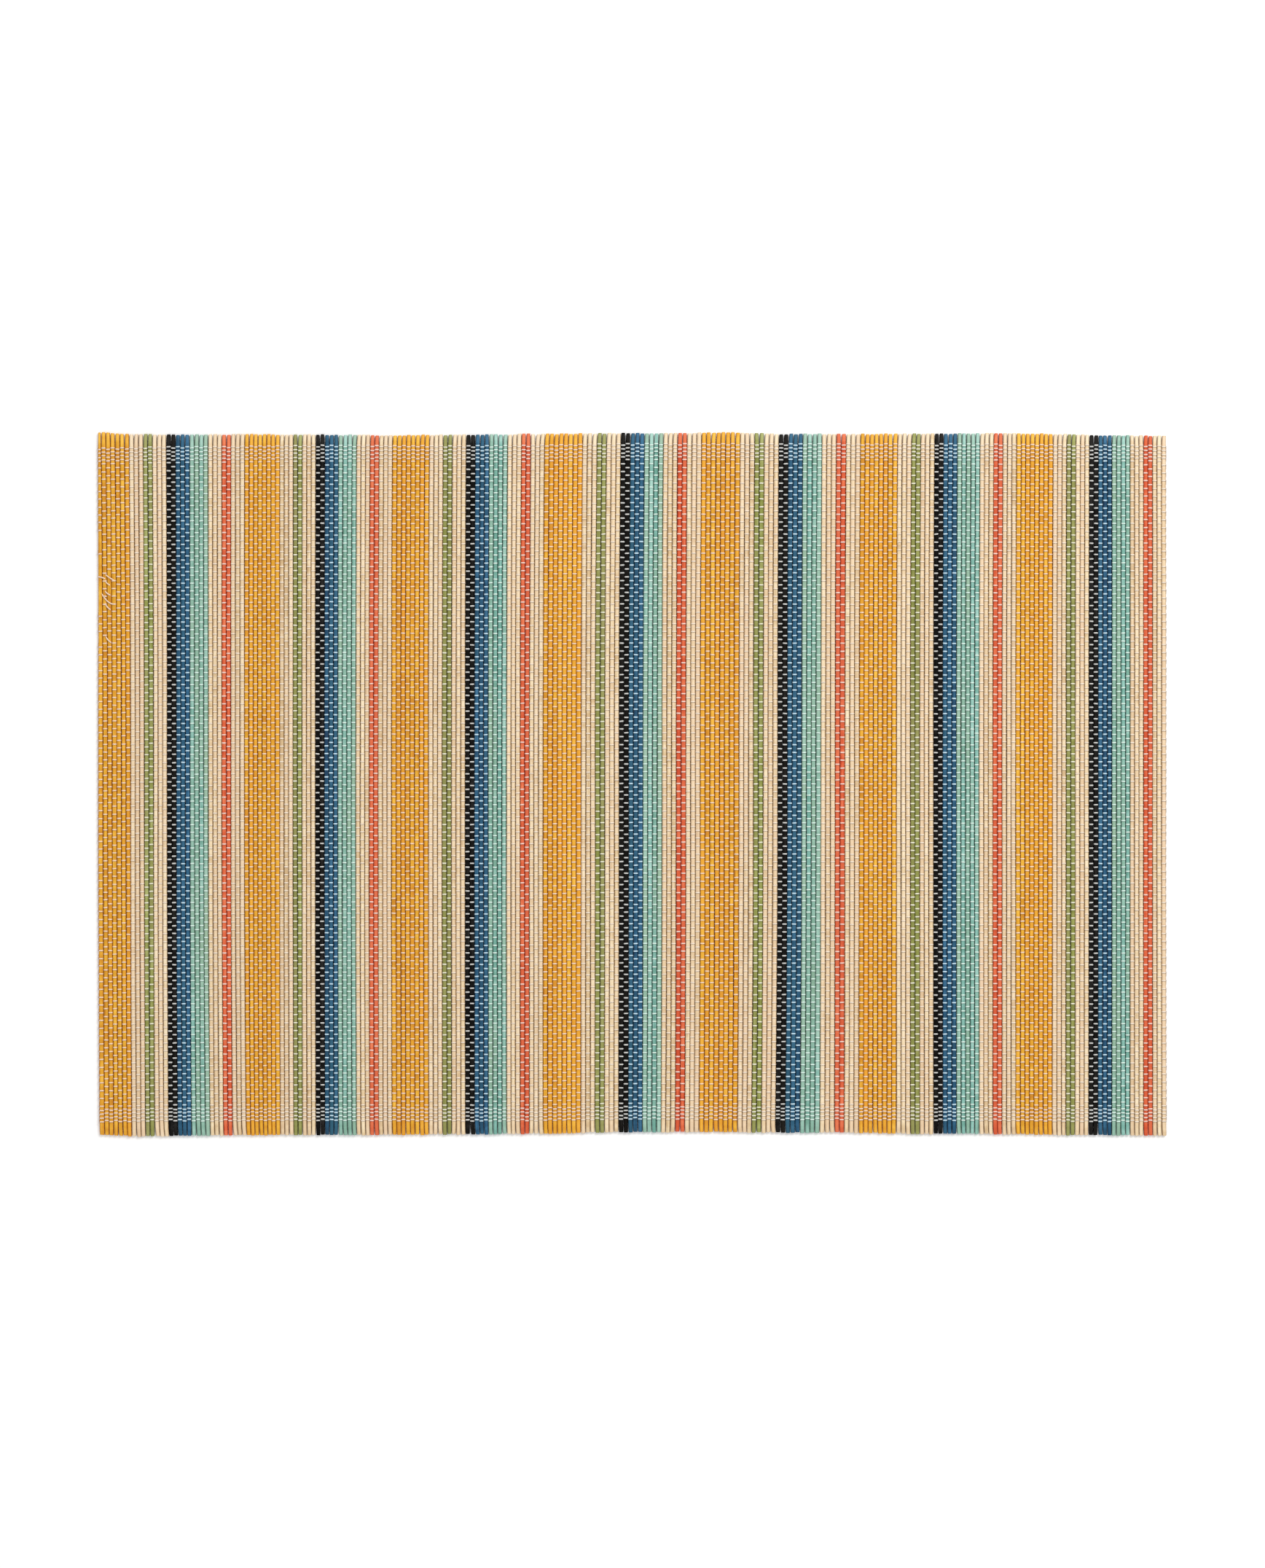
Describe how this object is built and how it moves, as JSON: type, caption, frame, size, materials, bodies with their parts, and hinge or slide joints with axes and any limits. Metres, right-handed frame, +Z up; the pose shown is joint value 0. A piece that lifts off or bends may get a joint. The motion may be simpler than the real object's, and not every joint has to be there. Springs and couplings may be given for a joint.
{
  "type": "bamboo placemat",
  "caption": "Flat rectangular placemat of striped bamboo slats, bound side by side by woven threads, with free slat ends along its long edges.",
  "frame": {"origin": "middle of the underside, on the surface that the mat lies on", "axes": "+X along the mat's width, across the slats, towards the edge that ends in a cream band; +Y along the slats, towards the far edge; +Z up"},
  "size_m": [0.4618, 0.305, 0.002],
  "materials": {
    "bamboo_cream": "natural split bamboo, satin",
    "bamboo_yellow": "dyed split bamboo, satin",
    "bamboo_green": "dyed split bamboo, satin",
    "bamboo_black": "dyed split bamboo, satin",
    "bamboo_blue": "dyed split bamboo, satin",
    "bamboo_teal": "dyed split bamboo, satin",
    "bamboo_red": "dyed split bamboo, satin",
    "binding_thread": "matt twisted thread"
  },
  "bodies": {
    "root": {"mat": "bamboo_cream"}
  },
  "joints": []
}
